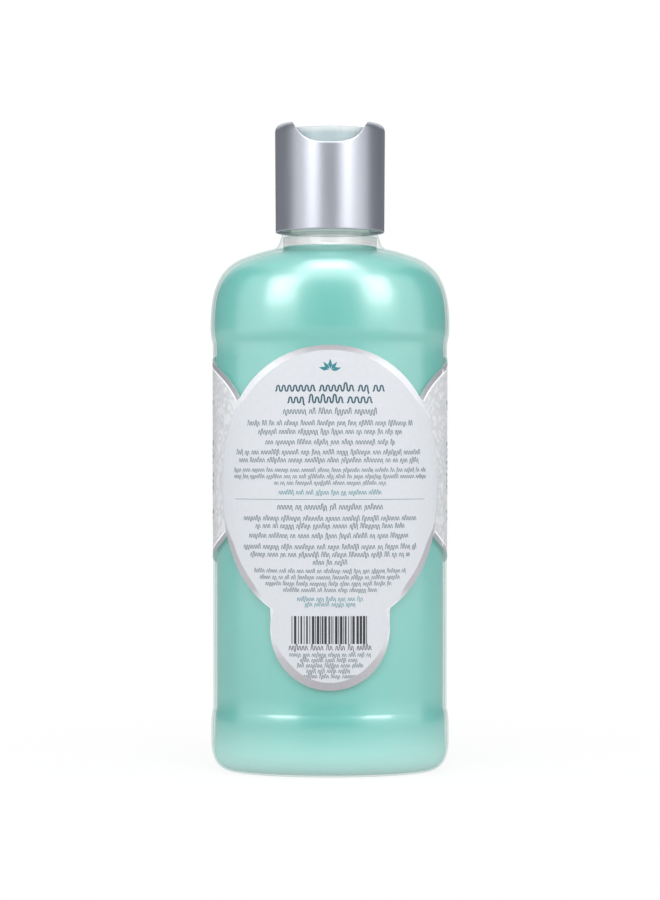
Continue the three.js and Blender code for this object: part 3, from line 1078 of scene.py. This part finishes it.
def lace_film():
    """Silver-grey printed film with a fine lace of darker and lighter cells."""
    n = Nodes("label_film")
    surface = n.principled(Metallic=0.25, Roughness=0.42)
    cells = n.cells(420.0, "SMOOTH_F1")
    lace = n.ramp(cells, [(0.15, linear(222, 223, 224)), (0.42, linear(200, 202, 205)),
                          (0.6, linear(218, 219, 221))])
    veins = n.noise(700.0, 3.0)
    colour = n.blend("MULTIPLY", 0.25, lace, n.ramp(veins, [(0.4, grey(0.8)), (0.6, grey(1.0))]))
    n.link(colour, surface.inputs["Base Color"])
    n.bump(cells, 0.00002, surface)
    return n.material


def paper(name, colour, roughness, metallic=0.0, mottle=0.03):
    """A printed film: one ink or foil colour with a fine mottle and a slight tooth."""
    n = Nodes(name)
    surface = n.principled(Roughness=roughness, Metallic=metallic)
    fibre = n.noise(800.0, 3.0)
    low = tuple(c * (1 - mottle) for c in colour[:3]) + (1.0,)
    high = tuple(min(1.0, c * (1 + mottle)) for c in colour[:3]) + (1.0,)
    n.link(n.ramp(fibre, [(0.35, low), (0.65, high)]), surface.inputs["Base Color"])
    n.bump(fibre, 0.00001, surface)
    return n.material


def border_foil():
    """Silver edging: nearly white on its upper arcs and the tail, grey at its crown and low arcs."""
    n = Nodes("border_foil")
    surface = n.principled(Metallic=0.5, Roughness=0.34)
    light, dark = linear(226, 228, 231), linear(182, 180, 184)
    tone = n.ramp(n.rise(BORDER_SPAN), [
        (0.0, dark), (0.09, linear(188, 186, 190)), (0.17, light), (0.25, light), (0.29, dark),
        (0.45, linear(190, 189, 193)), (0.6, light), (0.93, light), (1.0, dark)])
    fleck = n.noise(800.0, 3.0)
    mottle = n.ramp(fleck, [(0.35, grey(0.95)), (0.65, grey(1.0))])
    n.link(n.blend("MULTIPLY", 1.0, tone, mottle), surface.inputs["Base Color"])
    n.bump(fleck, 0.00001, surface)
    return n.material


def satin_silver():
    """Vacuum-metallised satin plastic: a cool grey metal with a very fine vertical drift in its gloss."""
    n = Nodes("satin_silver")
    surface = n.principled(Metallic=1.0)
    drift = n.noise(90.0, 4.0, 0.6, (1, 1, 0.15))
    silver = n.ramp(drift, [(0.3, linear(192, 195, 204)), (0.7, linear(200, 202, 210))])
    n.link(silver, surface.inputs["Base Color"])
    n.link(n.span(drift, 0.3, 0.7, 0.36, 0.4), surface.inputs["Roughness"])
    grain = n.noise(2600.0, 2.0)
    n.bump(grain, 0.000004, surface)
    return n.material


def milky_plastic(name, colour, roughness=0.35, crown=None):
    """Moulded translucent polypropylene with a fine grain; `crown` is a paler colour near the top, if any, a
    painted highlight where the top catches the light.
    """
    n = Nodes(name)
    surface = n.principled(Roughness=roughness)
    surface.inputs["Subsurface Weight"].default_value = 0.25
    surface.inputs["Subsurface Radius"].default_value = (0.002, 0.002, 0.002)
    surface.inputs["Subsurface Scale"].default_value = 1.0
    cloud = n.noise(120.0, 3.0)
    low = tuple(c * 0.95 for c in colour[:3]) + (1.0,)
    base = n.ramp(cloud, [(0.35, low), (0.65, colour)])
    if crown:
        # The paler top is a painted highlight.
        base = n.blend("MIX", n.rise(DISC_PAINTED_HIGHLIGHT), base, crown)
    n.link(base, surface.inputs["Base Color"])
    grain = n.noise(3000.0, 2.0)
    n.bump(grain, 0.000008, surface)
    return n.material


def foam():
    """Closed-cell foam."""
    n = Nodes("liner_foam")
    surface = n.principled(Roughness=0.85)
    pores = n.cells(2200.0)
    tone = n.ramp(pores, [(0.2, linear(222, 222, 214)), (0.6, linear(244, 244, 238))])
    n.link(tone, surface.inputs["Base Color"])
    n.bump(pores, 0.00004, surface)
    return n.material


# ---------- dressing ----------

def dress(piece, material, body, slot, *replaced, inside=None):
    """Gives a piece its material and the body it rides, and hides the CAD nodes that it replaces; `slot` is
    not used.
    """
    zones = [p.material_index for p in piece.data.polygons] if inside else None
    piece.data.materials.clear()
    piece.data.materials.append(material)
    if inside:
        piece.data.materials.append(inside)
        piece.data.polygons.foreach_set("material_index", zones)
    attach(piece, body)
    if replaced:
        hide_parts(*replaced)
    return piece


def smooth_copy(node):
    """A CAD node's own shape as a piece that shades smoothly over its round faces."""
    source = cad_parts[node]
    mesh = source.data.copy()
    mesh.transform(source.matrix_world)
    mesh.polygons.foreach_set("use_smooth", [True] * len(mesh.polygons))
    mesh.set_sharp_from_angle(angle=math.radians(30))
    made = bpy.data.objects.new(f"{node}_fine", mesh)
    bpy.context.scene.collection.objects.link(made)
    return made


# ---------- stage, lights, camera ----------

def floor():
    """A wide pale disc that turns to plain white away from the bottle."""
    radius = 4000
    rows = [(0, 0, -0.05)] + [(r, r, -0.05) for r in (100, 300, 800, radius)]
    disc = lathe("studio_floor", rows, 64)
    n = Nodes("studio_floor")
    surface = n.principled(Roughness=0.7)
    surface.inputs["Base Color"].default_value = grey(0.9)
    glow = n.add("ShaderNodeEmission")
    path = n.add("ShaderNodeLightPath")
    n.link(n.span(path.outputs["Is Camera Ray"], 0, 1, 0.65, 1.0), glow.inputs["Strength"])
    flat = n.add("ShaderNodeVectorMath", operation="LENGTH")
    n.link(n.place(), flat.inputs[0])
    share = n.span(flat.outputs["Value"], 0.04, 0.2, 0.86, 1.0)
    mix = n.add("ShaderNodeMixShader")
    n.link(share, mix.inputs[0])
    n.link(surface.outputs[0], mix.inputs[1])
    n.link(glow.outputs[0], mix.inputs[2])
    n.link(mix.outputs[0], n.output.inputs["Surface"])
    disc.data.materials.append(n.material)


def softbox(name, azimuth, elevation, distance, width, height, radiance):
    """A rectangular area light aimed at the bottle; azimuth 0 is behind the camera, positive towards +X."""
    light = bpy.data.lights.new(name, "AREA")
    light.shape = "RECTANGLE"
    light.size = width
    light.size_y = height
    light.energy = radiance * math.pi * width * height
    lamp = bpy.data.objects.new(name, light)
    bpy.context.scene.collection.objects.link(lamp)
    a, e = math.radians(azimuth), math.radians(elevation)
    lamp.location = (distance * math.sin(a) * math.cos(e), -distance * math.cos(a) * math.cos(e),
                     AIM_Z + distance * math.sin(e))
    lamp.rotation_euler = (math.pi / 2 - e, 0, a)
    lamp.visible_camera = False
    return lamp


def studio_world(fill):
    """White to the camera, and a dimmer grey as light and in reflections."""
    world = bpy.data.worlds.new("studio")
    bpy.context.scene.world = world
    world.use_nodes = True
    tree = world.node_tree
    tree.nodes.clear()
    path = tree.nodes.new("ShaderNodeLightPath")
    seen = tree.nodes.new("ShaderNodeBackground")
    lit = tree.nodes.new("ShaderNodeBackground")
    lit.inputs["Strength"].default_value = fill
    mix = tree.nodes.new("ShaderNodeMixShader")
    out = tree.nodes.new("ShaderNodeOutputWorld")
    seen.inputs["Color"].default_value = grey(1.0)
    lit.inputs["Color"].default_value = (0.84, 0.9, 1.0, 1.0)
    tree.links.new(path.outputs["Is Camera Ray"], mix.inputs[0])
    tree.links.new(lit.outputs[0], mix.inputs[1])
    tree.links.new(seen.outputs[0], mix.inputs[2])
    tree.links.new(mix.outputs[0], out.inputs[0])


def lights():
    for side in (-1, 1):
        softbox(f"side_box_{side}", side * 53, 6, 0.95, 1.14, 1.3, 0.72 + 0.03 * side)
        softbox(f"key_{side}", side * 37, 23, 1.0, 0.36, 0.4, 4.4)
        wing = softbox(f"wing_{side}", side * 92, 5, 1.0, 1.1, 1.2, 1.6)
        wing.visible_glossy = False
    softbox("top_box", 0, 61, 0.8, 0.4, 0.36, 3.4)
    softbox("high_front", 0, 44, 1.0, 0.9, 0.5, 1.8)
    sky = softbox("sky", 0, 84, 0.9, 1.6, 1.3, 0.6)
    sky.visible_diffuse = False
    backdrop = softbox("backdrop", 180, 40, 1.1, 1.8, 0.8, 0.8)
    backdrop.visible_diffuse = False
    back = softbox("back_fill", 180, 12, 1.3, 1.3, 1.2, 1.1)
    back.visible_glossy = False
    fill = softbox("front_fill", 0, 10, 1.3, 1.2, 1.2, 1.1)
    fill.visible_glossy = False
    studio_world(0.2)


def camera():
    lens = bpy.data.cameras.new("camera")
    lens.lens = LENS
    lens.sensor_width = 36
    eye = bpy.data.objects.new("camera", lens)
    bpy.context.scene.collection.objects.link(eye)
    eye.location = EYE
    eye.rotation_euler = (math.pi / 2, 0, 0)
    bpy.context.scene.camera = eye
    bpy.context.scene.view_settings.view_transform = "Standard"


# ---------- the scene ----------

def build():
    rng = random.Random(28)
    dress(clear_bottle(), clear_pet(), "bottle", "clear_pet", "bottle", inside=clear_inner())
    dress(shampoo_fill(), pearl_shampoo(), "bottle", "pearl_shampoo", "shampoo")
    dress(label_film(), lace_film(), "bottle", "label_film", "wrap_label", inside=film_back_painted_glow())
    dress(lap_edge(), paper("lap_edge", linear(226, 229, 230), 0.5), "bottle", "label_film")
    field = paper("label_field", linear(194, 197, 201), 0.5, 0.0, 0.015)
    foil = border_foil()
    dress(rear_field(), field, "bottle", "label_film")
    dress(rear_border(), foil, "bottle", "label_film")
    dress(front_field(), field, "bottle", "label_film")
    dress(front_ring(), foil, "bottle", "label_film")
    band = paper("band_foil", linear(186, 186, 191), 0.32, 0.6, 0.05)
    dress(front_border(0.0, BAND_WIDE, "label_band"), band, "bottle", "label_film")
    hairline = paper("hairline", linear(240, 242, 244), 0.45)
    dress(front_border(BAND_WIDE, 0.45, "label_hairline"), hairline, "bottle", "label_film")
    dress(side_print(rng), paper("ink_sides", linear(70, 92, 104), 0.45), "bottle", "label_film")
    dress(title_print(rng), paper("ink_title", linear(38, 78, 92), 0.45), "bottle", "label_film")
    dress(small_print(rng), paper("ink_text", linear(60, 84, 92), 0.45), "bottle", "label_film")
    dress(teal_print(rng), paper("ink_teal", linear(44, 120, 130), 0.45), "bottle", "label_film")
    dress(ribbon_print(rng), paper("ink_pale", linear(226, 236, 237), 0.45), "bottle", "label_film")
    dress(bar_print(rng), paper("ink_black", linear(46, 46, 50), 0.45), "bottle", "label_film")
    dress(cap_shell(), satin_silver(), "cap", "silver_shell", "cap_shell")
    dress(scoop_lip(), milky_plastic("lip_plastic", linear(222, 226, 230), 0.3), "cap", "cap_plastic")
    dress(smooth_copy("cap_base"), milky_plastic("cap_plastic", linear(196, 206, 204)), "cap", "cap_plastic",
          "cap_base")
    # The disc's paler top is a painted highlight.
    disc_plastic = milky_plastic("disc_plastic", linear(162, 177, 180), 0.35, linear(190, 196, 198))
    dress(smooth_copy("disc_top"), disc_plastic, "disc", "disc_plastic", "disc_top")
    dress(smooth_copy("cap_liner"), foam(), "liner", "liner_foam", "cap_liner")


build()
floor()
lights()
camera()
